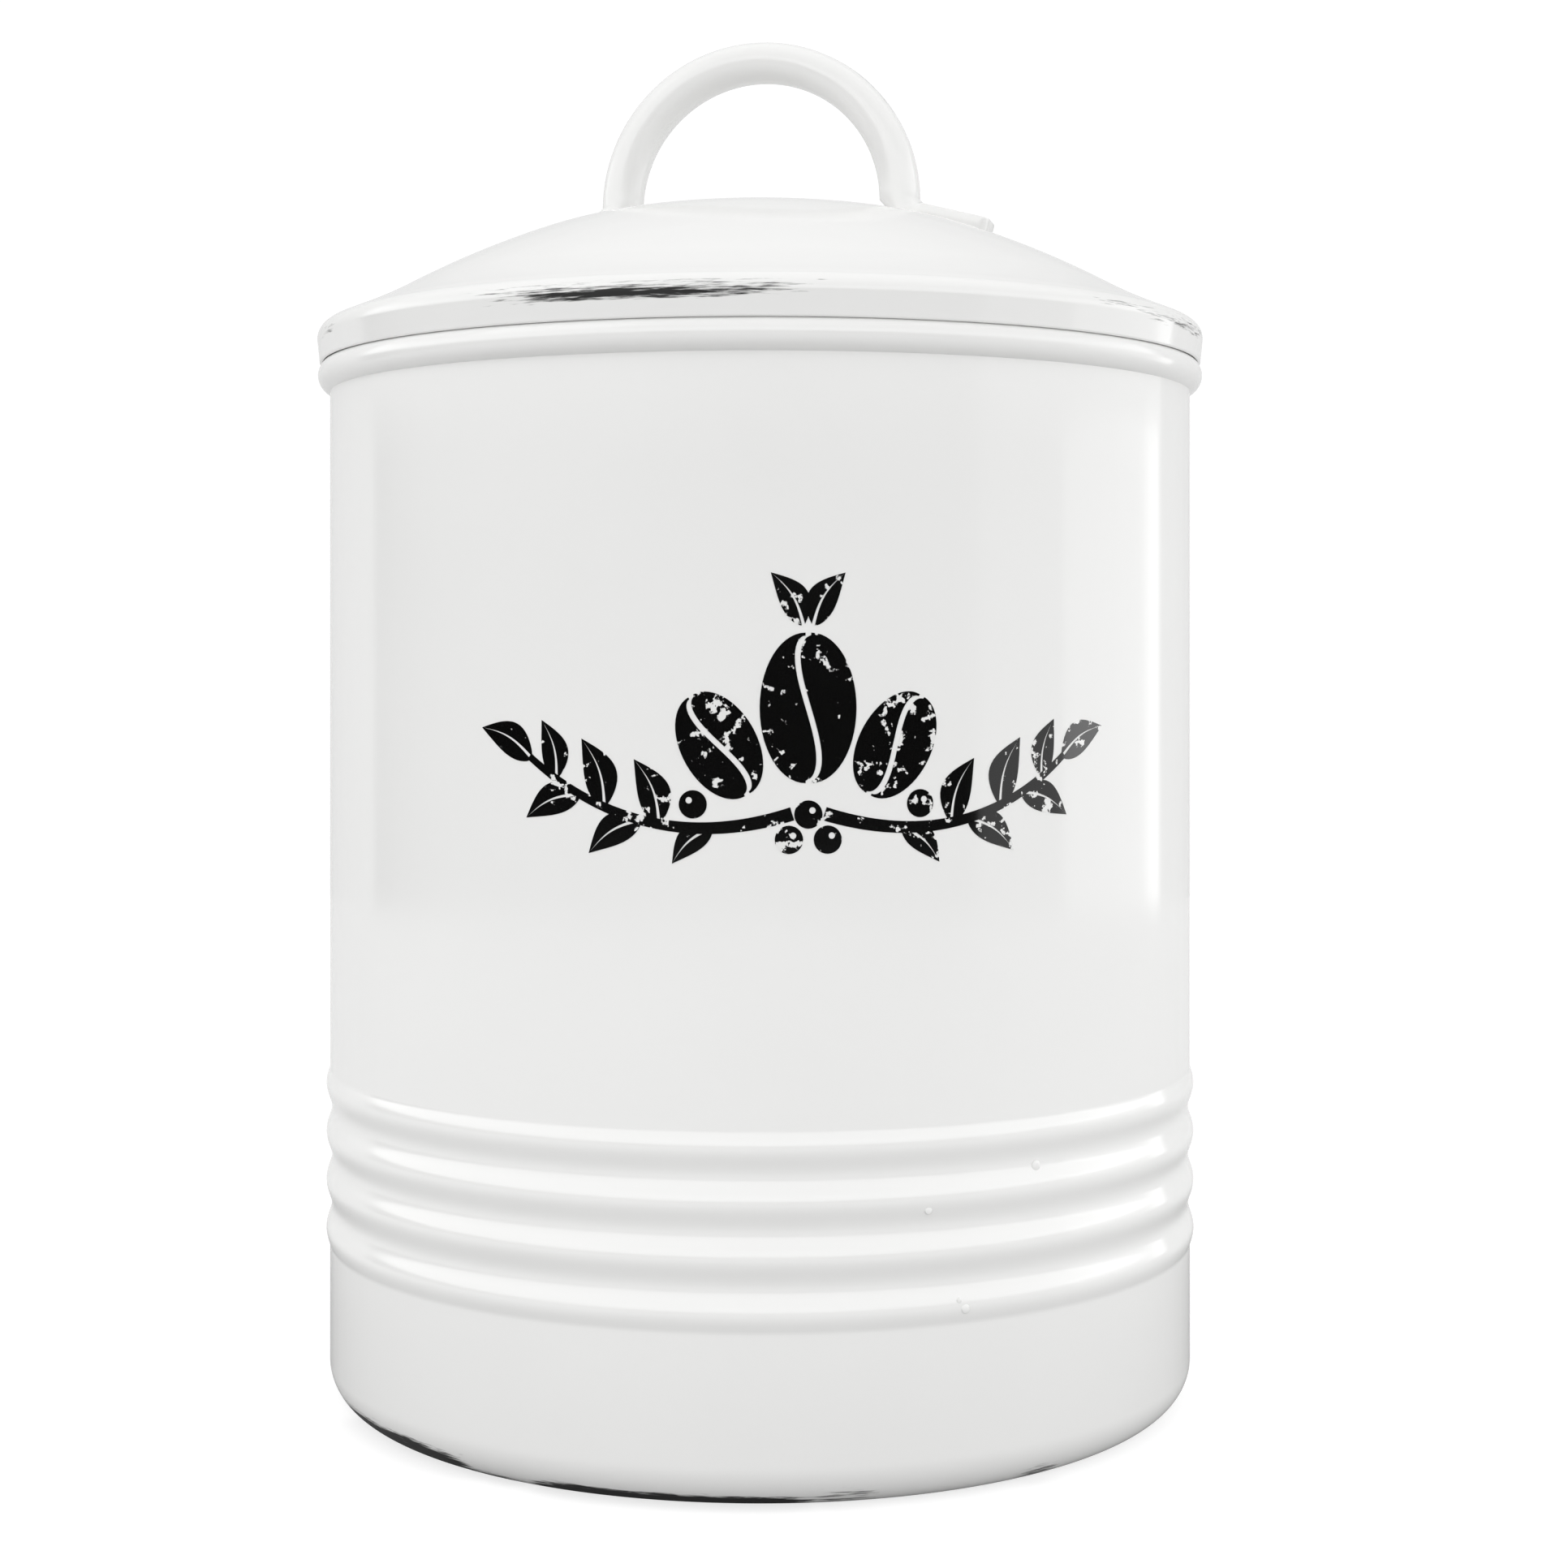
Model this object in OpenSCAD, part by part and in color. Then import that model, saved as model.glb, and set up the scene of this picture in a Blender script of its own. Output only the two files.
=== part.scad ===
// Coffee tin: a drawn steel can with rolled ribs and a wired mouth, and a domed
// lift-off lid with a locating collar, a seal ring and an arched handle.
// The origin is the centre of the base on the surface it stands on, +Z is up and
// -Y is the decorated front. Millimetres.

/* [Can] */
// Outer radius of the plain wall
wall_r = 62; // [55:0.5:75]
// Height from the floor to the top of the mouth bead
can_h = 147.8; // [110:0.1:220]
// Thickness of the enamelled sheet
sheet_t = 0.8; // [0.6:0.05:1]
// Outer radius of the corner between the wall and the base
base_corner_r = 5.8; // [3:0.1:8]
// Inner radius of the ring that the can stands on
rest_ring_r = 50; // [40:0.5:51]
// Height of the base panel above the floor
base_recess = 1.5; // [0.5:0.1:4]

/* [Ribs] */
// Number of rolled ribs
rib_count = 4; // [1:1:6]
// Height of the lowest rib's crest
rib_start = 24.4; // [15:0.1:50]
// Height from one crest to the next
rib_pitch = 6.87; // [5:0.01:10]
// How far a crest stands outside the plain wall
rib_proud = 0.5; // [0.3:0.05:1]
// How far a valley lies inside the plain wall
rib_sunk = 0.28; // [0.1:0.02:0.5]

/* [Mouth] */
// Outer radius of the rolled bead
bead_r = 2.4; // [2:0.1:3]
// How far the bead stands outside the plain wall
bead_proud = 1.7; // [1.2:0.1:2]

/* [Lid] */
// How far the rim's widest line stands outside the plain wall
rim_proud = 1.8; // [1.7:0.1:2.5]
// Height of the rim's widest line above the mouth
rim_rise = 2.8; // [2.5:0.1:4]
// Radius of the rim's round shoulder
shoulder_r = 2.3; // [2:0.1:3]
// Gap between the lid and the bead it rests on
seat_gap = 0.3; // [0.2:0.05:0.5]
// Radius of the flat centre of the dome
crown_flat_r = 14; // [8:0.5:18]
// Steepest slope of the dome, in degrees
dome_slope = 28.8; // [26:0.1:32]

/* [Handle] */
// Outer radius of the arch
arch_r = 23.6; // [20:0.1:26]
// Thickness of the bar towards the arch's centre
bar_t = 5.8; // [4:0.1:7]
// Width of the bar across the arch
bar_w = 7.6; // [5:0.1:10]
// Overall height of the tin with its lid on
overall_h = 195; // [190:0.1:200]
// Turn of the handle from square to the front, in degrees
handle_turn = -18; // [-180:1:180]

/* [Hidden] */
$fn = 96;

WHITE = "whitesmoke";
STEEL = "lightsteelblue";

// Can
wall_in_r = wall_r - sheet_t;
base_lip_w = 2;                       // run of the step between base panel and rest ring
corner_start_r = wall_r - base_corner_r;
bead_c = [wall_r + bead_proud - bead_r, can_h - bead_r];
wall_top = bead_c[1] - bead_r + sheet_t / 2;
mouth_r = bead_c[0] - bead_r;         // clear radius of the mouth
curl_slit = 0.3;                      // gap where the bead's curled edge meets the wall
curl_slit_angle = -62;
wire_clearance = 0.1;

// Ribs: a cosine between crest and valley, which meets the plain wall at rib_end
rib_mid = (rib_proud - rib_sunk) / 2;
rib_amp = (rib_proud + rib_sunk) / 2;
rib_end = acos(-rib_mid / rib_amp);
rib_step = 30;

// Dome: [radius, slope] where one arc of its profile meets the next
rim_r = wall_r + rim_proud;
rim_z = can_h + rim_rise;
crown_edge = [34, 20.3];
steepest = [52, dome_slope];
flare = [60, 22];
skirt_slope = 100;                    // the skirt leans in by this much past level
arc_step = 2;                         // degrees of slope between two points of an arc
shoulder_start_r = rim_r - shoulder_r * (1 - sin(flare[1]));
shoulder_start_z = rim_z + shoulder_r * cos(flare[1]);
flare_z = shoulder_start_z + (shoulder_start_r - flare[0]) * tan(flare[1]);
steepest_z = flare_z - arc_drop(steepest, flare);
crown_edge_z = steepest_z - arc_drop(crown_edge, steepest);
crown_z = crown_edge_z - arc_drop([crown_flat_r, 0], crown_edge);

// Hem under the rim, folded in over the bead and up inside
hem_r = bead_r + seat_gap;
hem_leg_r = bead_c[0] - 0.5;          // side of the inner leg that faces the axis
hem_leg_top = rim_z + 1.4;
hem_floor = can_h + seat_gap + sheet_t;

// Collar and seal
collar_t = 0.6;
collar_clearance = 0.7;               // between the collar's lips and the mouth
collar_r = mouth_r - collar_clearance;
groove_depth = 1.3;
groove_r = collar_r - groove_depth;
groove_z = [bead_c[1] - 2.4, bead_c[1] + 2.4];
collar_bottom = bead_c[1] - 7;
weld_gap = 0.05;
weld_flange_w = 6;
foot_w = 1.6;                         // lower edge, turned in so that it isn't sharp
seal_gap = 0.25;                      // between the seal's lips and the mouth
seal_seat = 0.12;                     // between the seal and its groove
seal_r = mouth_r - seal_gap;
lip_r = 0.75;

// Handle
arch_mid_r = arch_r - bar_t / 2;
arch_z = overall_h - arch_r;
tab_w = 8.4;
tab_t = 1.6;
tab_corner_r = 1.3;
tab_end_r = 35.2;
tab_slope = 13;
tab_z = crown_z - 1.05;               // underside of the tab at the leg

// Fall in height along an arc whose slope goes from a to b; each is [radius, slope]
function arc_drop(a, b) = arc_r(a, b) * (cos(b[1]) - cos(a[1]));
function arc_r(a, b) = (b[0] - a[0]) / (sin(b[1]) - sin(a[1]));

// Points [radius, height, slope] along that arc, from height z down
function arc_points(a, b, z) =
    let (r = arc_r(a, b), n = ceil(abs(b[1] - a[1]) / arc_step))
    [for (i = [1:n]) let (s = a[1] + (b[1] - a[1]) * i / n)
        [a[0] + r * (sin(s) - sin(a[1])), z + r * (cos(s) - cos(a[1])), s]];

// Points along a circular arc in the section plane
function circle_points(c, r, from, to, n) =
    [for (i = [0:n]) let (a = from + (to - from) * i / n) c + r * [cos(a), sin(a)]];

// Moves points [radius, height, slope] inwards along their normals by t
function inset_by(points, t) =
    [for (p = points) [p[0] - t * sin(p[2]), p[1] - t * cos(p[2]), p[2]]];

// Drops the slope from such points, and raises them by dz
function plain(points, dz = 0) = [for (p = points) [p[0], p[1] + dz]];

function reversed(list) = [for (i = [len(list) - 1:-1:0]) list[i]];

// Outer surface of the lid from the crown's edge over the shoulder to the skirt
function dome_points() = concat(
    [[crown_flat_r, crown_z, 0]],
    arc_points([crown_flat_r, 0], crown_edge, crown_z),
    arc_points(crown_edge, steepest, crown_edge_z),
    arc_points(steepest, flare, steepest_z),
    [[shoulder_start_r, shoulder_start_z, flare[1]]],
    shoulder_points()
);

function shoulder_points() =
    let (n = 12, c = [rim_r - shoulder_r, rim_z])
    [for (i = [1:n]) let (s = flare[1] + (skirt_slope - flare[1]) * i / n)
        [c[0] + shoulder_r * sin(s), c[1] + shoulder_r * cos(s), s]];

// Wall line through the ribs, shifted sideways by dx
function rib_points(dx) = [for (k = [0:rib_count - 1])
    for (a = [(k == 0 ? -rib_end : -180 + rib_step):rib_step:(k == rib_count - 1 ? rib_end : 180)])
        [wall_r + dx + rib_mid + rib_amp * cos(a), rib_start + rib_pitch * (k + a / 360)]];

// Sheet wall and base of the can, from the axis out and back
module can_section() {
    polygon(concat(
        [[0, base_recess], [rest_ring_r - base_lip_w, base_recess], [rest_ring_r, 0]],
        circle_points([corner_start_r, base_corner_r], base_corner_r, -90, 0, 12),
        rib_points(0),
        [[wall_r, wall_top], [wall_in_r, wall_top]],
        reversed(rib_points(-sheet_t)),
        circle_points([corner_start_r, base_corner_r], base_corner_r - sheet_t, 0, -90, 12),
        [[rest_ring_r, sheet_t], [rest_ring_r - base_lip_w, base_recess + sheet_t],
         [0, base_recess + sheet_t]]
    ));
}

// Rolled edge of the mouth, open by a slit where its end meets the wall
module bead_section() {
    translate(bead_c) difference() {
        circle(r = bead_r);
        circle(r = bead_r - sheet_t);
        rotate(curl_slit_angle) translate([0, -curl_slit / 2]) square([bead_r + 1, curl_slit]);
    }
}

module can_shell() {
    color(WHITE) rotate_extrude() {
        can_section();
        bead_section();
    }
}

// Wire that stiffens the mouth, inside the rolled bead
module mouth_wire() {
    color(STEEL) rotate_extrude() translate(bead_c)
        circle(r = bead_r - sheet_t - wire_clearance);
}

// Solid under the dome's outer surface, which the handle is trimmed to
module dome_cutter() {
    rotate_extrude() polygon(concat(
        [[0, crown_z + weld_gap]],
        plain(dome_points(), weld_gap),
        [[0, rim_z]]
    ));
}

// Domed sheet, its rounded shoulder, skirt and folded hem
module lid_dome() {
    dome = dome_points();
    skirt_end = circle_points(bead_c, hem_r, 45, 45, 1)[0];
    color(WHITE) rotate_extrude() polygon(concat(
        [[0, crown_z]],
        plain(dome),
        circle_points(bead_c, hem_r, 45, 100, 8),
        [[hem_leg_r, can_h + seat_gap + 0.4], [hem_leg_r, hem_leg_top],
         [hem_leg_r + sheet_t, hem_leg_top], [hem_leg_r + sheet_t, hem_floor],
         [skirt_end[0] - sheet_t, hem_floor]],
        reversed(plain(inset_by(dome, sheet_t))),
        [[0, crown_z - sheet_t]]
    ));
}

// Locating ring welded under the dome, with a groove for the seal
module lid_collar() {
    under = [for (p = inset_by(dome_points(), sheet_t + weld_gap))
        if (p[0] > collar_r - weld_flange_w && p[0] < collar_r) p];
    edge = under[len(under) - 1];
    top = edge[1] - (collar_r - edge[0]) * tan(edge[2]);
    flange = concat(plain(under), [[collar_r, top]]);
    back_r = collar_r - collar_t;
    color(STEEL) rotate_extrude() polygon(concat(
        flange,
        [[collar_r, groove_z[1]], [groove_r, groove_z[1]],
         [groove_r, groove_z[0]], [collar_r, groove_z[0]],
         [collar_r, collar_bottom], [collar_r - foot_w, collar_bottom],
         [collar_r - foot_w, collar_bottom + collar_t], [back_r, collar_bottom + collar_t],
         [back_r, groove_z[0] - collar_t], [groove_r - collar_t, groove_z[0] - collar_t],
         [groove_r - collar_t, groove_z[1] + collar_t], [back_r, groove_z[1] + collar_t],
         [back_r, top - collar_t]],
        reversed(plain(under, -collar_t))
    ));
}

// Soft ring in the collar's groove, with two lips towards the mouth
module lid_seal() {
    z0 = groove_z[0] + seal_seat;
    h = groove_z[1] - groove_z[0] - 2 * seal_seat;
    color("gainsboro") rotate_extrude() {
        translate([groove_r + seal_seat, z0]) square([seal_r - lip_r - groove_r - seal_seat, h]);
        for (z = [z0 + lip_r + 0.2, z0 + h - lip_r - 0.2])
            translate([seal_r - lip_r, z]) circle(r = lip_r);
    }
}

// Oval outline of the bar, thick along x and wide along y
module bar_section() {
    steps = 32;
    polygon([for (i = [0:steps - 1]) let (a = 360 * i / steps)
        [bar_t / 2 * cos(a), bar_w / 2 * sin(a)]]);
}

// Flat foot that lies on the dome, reaching outwards from a leg to a square end
module handle_tab() {
    reach = tab_end_r - arch_mid_r - tab_corner_r;
    side = tab_w / 2 - tab_corner_r;
    translate([arch_mid_r, 0, tab_z]) rotate([0, tab_slope, 0]) linear_extrude(tab_t)
        polygon(concat(
            [[0, -tab_w / 2]],
            circle_points([reach, -side], tab_corner_r, -90, 0, 6),
            circle_points([reach, side], tab_corner_r, 0, 90, 6),
            [[0, tab_w / 2]]
        ));
}

// Arched bar with a flattened foot on each side, trimmed to the dome
module handle() {
    color(WHITE) rotate([0, 0, handle_turn]) difference() {
        union() {
            translate([0, 0, arch_z]) rotate([90, 0, 0]) rotate_extrude(angle = 180)
                translate([arch_mid_r, 0]) bar_section();
            for (side = [0, 1]) mirror([side, 0, 0]) {
                translate([arch_mid_r, 0, rim_z]) linear_extrude(arch_z - rim_z) bar_section();
                handle_tab();
            }
        }
        dome_cutter();
    }
}

can_shell();
mouth_wire();
lid_seal();
lid_dome();
lid_collar();
handle();
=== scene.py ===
"""Coffee tin: a worn white enamel can with a domed lift-off lid, modelled and dressed for Blender."""

import logging
import math
from collections.abc import Callable, Iterable
from dataclasses import dataclass, field
from enum import Enum
from functools import partial

import bmesh
import bpy
from mathutils import Matrix, Vector


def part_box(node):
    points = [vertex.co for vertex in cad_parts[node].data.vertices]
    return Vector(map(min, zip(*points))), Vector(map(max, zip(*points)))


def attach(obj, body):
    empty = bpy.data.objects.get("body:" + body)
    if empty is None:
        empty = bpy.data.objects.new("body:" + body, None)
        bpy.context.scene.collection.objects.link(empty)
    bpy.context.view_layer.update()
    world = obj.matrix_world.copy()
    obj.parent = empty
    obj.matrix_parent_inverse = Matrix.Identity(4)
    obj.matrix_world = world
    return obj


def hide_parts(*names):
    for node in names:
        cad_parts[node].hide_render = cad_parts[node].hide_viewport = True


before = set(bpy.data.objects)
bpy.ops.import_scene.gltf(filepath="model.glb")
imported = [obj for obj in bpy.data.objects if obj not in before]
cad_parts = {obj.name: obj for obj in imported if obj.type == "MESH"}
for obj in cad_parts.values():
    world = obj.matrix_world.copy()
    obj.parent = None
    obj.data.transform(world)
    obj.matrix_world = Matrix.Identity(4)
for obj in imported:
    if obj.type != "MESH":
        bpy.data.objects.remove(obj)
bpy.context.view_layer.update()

MM = 0.001
WELD = 0.001 * MM
OCTAVE_GAIN = 0.6  # how strong each finer octave of a noise is beside the one before it
LOG = logging.getLogger("coffee_tin")


class Body(Enum):
    """The rigid bodies of the tin that a piece can ride on."""

    CAN = "can"
    SEAL = "seal"
    LID = "lid"


class Slot(Enum):
    """The record's material slots."""

    ENAMEL = "white_enamel"
    STEEL = "bright_steel"
    RUBBER = "seal_rubber"


# ---------------------------------------------------------------- materials


def linear_colour(hex_code: str) -> tuple[float, float, float, float]:
    """Turns an sRGB hex colour into linear RGBA.

    Args:
        hex_code: Six hex digits, with or without a leading #.

    Returns:
        The colour as Blender's shader sockets take it, with alpha 1.
    """
    digits = hex_code.lstrip("#")
    channels = [int(digits[i : i + 2], 16) / 255 for i in (0, 2, 4)]
    red, green, blue = (c / 12.92 if c <= 0.04045 else ((c + 0.055) / 1.055) ** 2.4 for c in channels)
    return red, green, blue, 1.0


def add_node(
    tree: bpy.types.NodeTree,
    kind: str,
    inputs: dict[str | int, object] | None = None,
    **settings: object,
) -> bpy.types.Node:
    """Adds a shader node with its settings, and links or fills its inputs.

    Args:
        tree: The node tree that gets the node.
        kind: The node's Blender type name.
        inputs: Input name or index to a socket, which is linked, to a node, whose first output in
            use is linked, or to a plain value.
        **settings: Attributes to set on the node itself.

    Returns:
        The new node.
    """
    node = tree.nodes.new(kind)
    for name, value in settings.items():
        setattr(node, name, value)
    for key, value in (inputs or {}).items():
        if isinstance(value, bpy.types.Node):
            value = next(output for output in value.outputs if output.enabled)
        if isinstance(value, bpy.types.NodeSocket):
            tree.links.new(value, node.inputs[key])
        else:
            node.inputs[key].default_value = value
    return node


def new_tree(name: str) -> tuple[bpy.types.Material, bpy.types.NodeTree]:
    """Makes an empty node material.

    Args:
        name: The material's name.

    Returns:
        The material and its node tree.
    """
    material = bpy.data.materials.new(name)
    material.use_nodes = True
    material.node_tree.nodes.clear()
    return material, material.node_tree


@dataclass(frozen=True)
class Grain:
    """A noise with a real size: its grain along each axis in mm, its finer octaves and a shift."""

    size: tuple[float, float, float]
    octaves: float
    shift: float = 0.0

    @property
    def placing(self) -> dict[str, object]:
        """What a Mapping node needs to give the grain its size."""
        return {"Location": (self.shift,) * 3, "Scale": [1 / (size * MM) for size in self.size]}

    @property
    def texture(self) -> dict[str, object]:
        """What a Noise Texture node needs behind that Mapping node."""
        return {"Scale": 1.0, "Detail": self.octaves, "Roughness": OCTAVE_GAIN}


@dataclass(frozen=True)
class WornEnamel:
    """Gloss white enamel, sprayed and stoved on sheet steel, scraped to black at the rims.

    The eye gets a glassy coat that mirrors the studio softly, a hardly visible orange peel, and
    black streaks along the rims where the coat is rubbed through.
    """

    white: str = "#E9E9E8"
    shade: str = "#E6E6E5"
    bare: str = "#151515"
    gloss_roughness: float = 0.09
    bare_roughness: float = 0.5
    glass_ior: float = 1.46
    mottle: Grain = Grain((30.0, 30.0, 30.0), 2.0)
    peel: Grain = Grain((2.2, 2.2, 2.2), 1.0)
    peel_height: float = 0.002
    streaks: Grain = Grain((7.0, 0.3, 7.0), 3.0)
    streak_share: float = 1.7
    chips: Grain = Grain((2.4, 0.18, 2.4), 4.0, 7.3)
    chip_share: float = 1.2
    scrape_edge: tuple[float, float] = (0.36, 0.92)
    sound_edge: tuple[float, float] = (0.02, 0.12)

    def build(self) -> bpy.types.Material:
        """Builds the material.

        Returns:
            The enamel, which reads the mesh attributes wear and wrap.
        """
        material, tree = new_tree("worn_white_enamel")
        place = add_node(tree, "ShaderNodeTexCoord").outputs["Object"]
        worn = self._wear_mask(tree)
        spot = add_node(tree, "ShaderNodeMapping", {"Vector": place, **self.mottle.placing})
        mottle = add_node(tree, "ShaderNodeTexNoise", {"Vector": spot, **self.mottle.texture})
        coat = add_node(
            tree,
            "ShaderNodeMix",
            {"Factor": mottle, "A": linear_colour(self.white), "B": linear_colour(self.shade)},
            data_type="RGBA",
        )
        colour = add_node(
            tree,
            "ShaderNodeMix",
            {"Factor": worn, "A": coat, "B": linear_colour(self.bare)},
            data_type="RGBA",
        )
        roughness = add_node(
            tree,
            "ShaderNodeMapRange",
            {"Value": worn, "To Min": self.gloss_roughness, "To Max": self.bare_roughness},
        )
        spot = add_node(tree, "ShaderNodeMapping", {"Vector": place, **self.peel.placing})
        peel = add_node(tree, "ShaderNodeTexNoise", {"Vector": spot, **self.peel.texture})
        bump = add_node(
            tree,
            "ShaderNodeBump",
            {"Height": peel, "Distance": self.peel_height * MM, "Strength": 1.0},
        )
        shader = add_node(
            tree,
            "ShaderNodeBsdfPrincipled",
            {
                "Base Color": colour,
                "Roughness": roughness,
                "Normal": bump,
                "IOR": self.glass_ior,
            },
        )
        add_node(tree, "ShaderNodeOutputMaterial", {"Surface": shader})
        return material

    def _wear_mask(self, tree: bpy.types.NodeTree) -> bpy.types.Node:
        """Breaks the mesh's soft wear attribute up into scrapes that run round the tin.

        Args:
            tree: The enamel's node tree.

        Returns:
            The node that gives 1 where the coat is gone and 0 where it is sound.
        """
        wear = add_node(tree, "ShaderNodeAttribute", attribute_name="wear").outputs["Fac"]
        wrap = add_node(tree, "ShaderNodeAttribute", attribute_name="wrap").outputs["Vector"]
        level = wear
        for grain, share in ((self.streaks, self.streak_share), (self.chips, self.chip_share)):
            spot = add_node(tree, "ShaderNodeMapping", {"Vector": wrap, **grain.placing})
            marks = add_node(tree, "ShaderNodeTexNoise", {"Vector": spot, **grain.texture})
            swing = add_node(
                tree, "ShaderNodeMath", {0: marks, 1: share, 2: -share / 2}, operation="MULTIPLY_ADD"
            )
            level = add_node(tree, "ShaderNodeMath", {0: level, 1: swing}, operation="ADD")
        near_rim, scraped = (
            add_node(
                tree,
                "ShaderNodeMapRange",
                {"Value": value, "From Min": low, "From Max": high},
                interpolation_type="SMOOTHSTEP",
            )
            for value, (low, high) in ((wear, self.sound_edge), (level, self.scrape_edge))
        )
        return add_node(tree, "ShaderNodeMath", {0: near_rim, 1: scraped}, operation="MULTIPLY")


@dataclass(frozen=True)
class StampedInk:
    """Black ink, rubber-stamped on the enamel under a clear coat and flecked with missed spots.

    The eye gets a dense, slightly glossy black with small white holes that cluster in places.
    """

    ink: str = "#080808"
    ground: str = "#E9E9E8"
    roughness: float = 0.1
    sheen: float = 1.9
    flecks: Grain = Grain((1.5, 1.5, 1.5), 5.0, 3.1)
    clusters: Grain = Grain((11.0, 11.0, 11.0), 1.0, 1.7)
    cluster_share: float = 0.45
    fleck_edge: tuple[float, float] = (0.845, 0.87)

    def build(self) -> bpy.types.Material:
        """Builds the material.

        Returns:
            The ink with its flecks.
        """
        material, tree = new_tree("stamped_black_ink")
        place = add_node(tree, "ShaderNodeTexCoord").outputs["Object"]
        spot = add_node(tree, "ShaderNodeMapping", {"Vector": place, **self.flecks.placing})
        flecks = add_node(tree, "ShaderNodeTexNoise", {"Vector": spot, **self.flecks.texture})
        spot = add_node(tree, "ShaderNodeMapping", {"Vector": place, **self.clusters.placing})
        clusters = add_node(tree, "ShaderNodeTexNoise", {"Vector": spot, **self.clusters.texture})
        both = add_node(
            tree,
            "ShaderNodeMath",
            {0: clusters, 1: self.cluster_share, 2: flecks},
            operation="MULTIPLY_ADD",
        )
        missed = add_node(
            tree,
            "ShaderNodeMapRange",
            {"Value": both, "From Min": self.fleck_edge[0], "From Max": self.fleck_edge[1]},
            interpolation_type="SMOOTHSTEP",
        )
        colour = add_node(
            tree,
            "ShaderNodeMix",
            {"Factor": missed, "A": linear_colour(self.ink), "B": linear_colour(self.ground)},
            data_type="RGBA",
        )
        shader = add_node(
            tree,
            "ShaderNodeBsdfPrincipled",
            {"Base Color": colour, "Roughness": self.roughness, "IOR": self.sheen},
        )
        add_node(tree, "ShaderNodeOutputMaterial", {"Surface": shader})
        return material


@dataclass(frozen=True)
class ZincPlatedSteel:
    """Zinc-plated steel wire and strip, rolled and pressed.

    The eye gets a satin grey with fine lines round the ring and faint cloudy patches.
    """

    tint: str = "#B4B6B9"
    dull: str = "#9A9CA0"
    smoothest: float = 0.28
    roughest: float = 0.46
    lines: Grain = Grain((40.0, 40.0, 0.25), 4.0)
    cloud: Grain = Grain((6.0, 6.0, 6.0), 3.0, 2.0)
    line_depth: float = 0.01

    def build(self) -> bpy.types.Material:
        """Builds the material.

        Returns:
            The steel.
        """
        material, tree = new_tree("zinc_plated_steel")
        place = add_node(tree, "ShaderNodeTexCoord").outputs["Object"]
        spot = add_node(tree, "ShaderNodeMapping", {"Vector": place, **self.lines.placing})
        lines = add_node(tree, "ShaderNodeTexNoise", {"Vector": spot, **self.lines.texture})
        spot = add_node(tree, "ShaderNodeMapping", {"Vector": place, **self.cloud.placing})
        cloud = add_node(tree, "ShaderNodeTexNoise", {"Vector": spot, **self.cloud.texture})
        colour = add_node(
            tree,
            "ShaderNodeMix",
            {"Factor": cloud, "A": linear_colour(self.tint), "B": linear_colour(self.dull)},
            data_type="RGBA",
        )
        roughness = add_node(
            tree,
            "ShaderNodeMapRange",
            {"Value": lines, "To Min": self.smoothest, "To Max": self.roughest},
        )
        bump = add_node(tree, "ShaderNodeBump", {"Height": lines, "Distance": self.line_depth * MM})
        shader = add_node(
            tree,
            "ShaderNodeBsdfPrincipled",
            {
                "Base Color": colour,
                "Metallic": 1.0,
                "Roughness": roughness,
                "Normal": bump,
            },
        )
        add_node(tree, "ShaderNodeOutputMaterial", {"Surface": shader})
        return material


@dataclass(frozen=True)
class MouldedSilicone:
    """Silicone rubber, compression-moulded.

    The eye gets a milky, matte, soft-looking ring that is faintly dusty.
    """

    milky: str = "#D9D9D4"
    dusty: str = "#CBCBC5"
    roughness: float = 0.55
    rubber_ior: float = 1.41
    dust: Grain = Grain((1.2, 1.2, 1.2), 5.0)
    dust_depth: float = 0.01

    def build(self) -> bpy.types.Material:
        """Builds the material.

        Returns:
            The rubber.
        """
        material, tree = new_tree("moulded_silicone")
        place = add_node(tree, "ShaderNodeTexCoord").outputs["Object"]
        spot = add_node(tree, "ShaderNodeMapping", {"Vector": place, **self.dust.placing})
        dust = add_node(tree, "ShaderNodeTexNoise", {"Vector": spot, **self.dust.texture})
        colour = add_node(
            tree,
            "ShaderNodeMix",
            {"Factor": dust, "A": linear_colour(self.milky), "B": linear_colour(self.dusty)},
            data_type="RGBA",
        )
        bump = add_node(tree, "ShaderNodeBump", {"Height": dust, "Distance": self.dust_depth * MM})
        shader = add_node(
            tree,
            "ShaderNodeBsdfPrincipled",
            {
                "Base Color": colour,
                "Roughness": self.roughness,
                "Normal": bump,
                "IOR": self.rubber_ior,
            },
        )
        add_node(tree, "ShaderNodeOutputMaterial", {"Surface": shader})
        return material


# ---------------------------------------------------------------- mesh helpers


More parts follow.
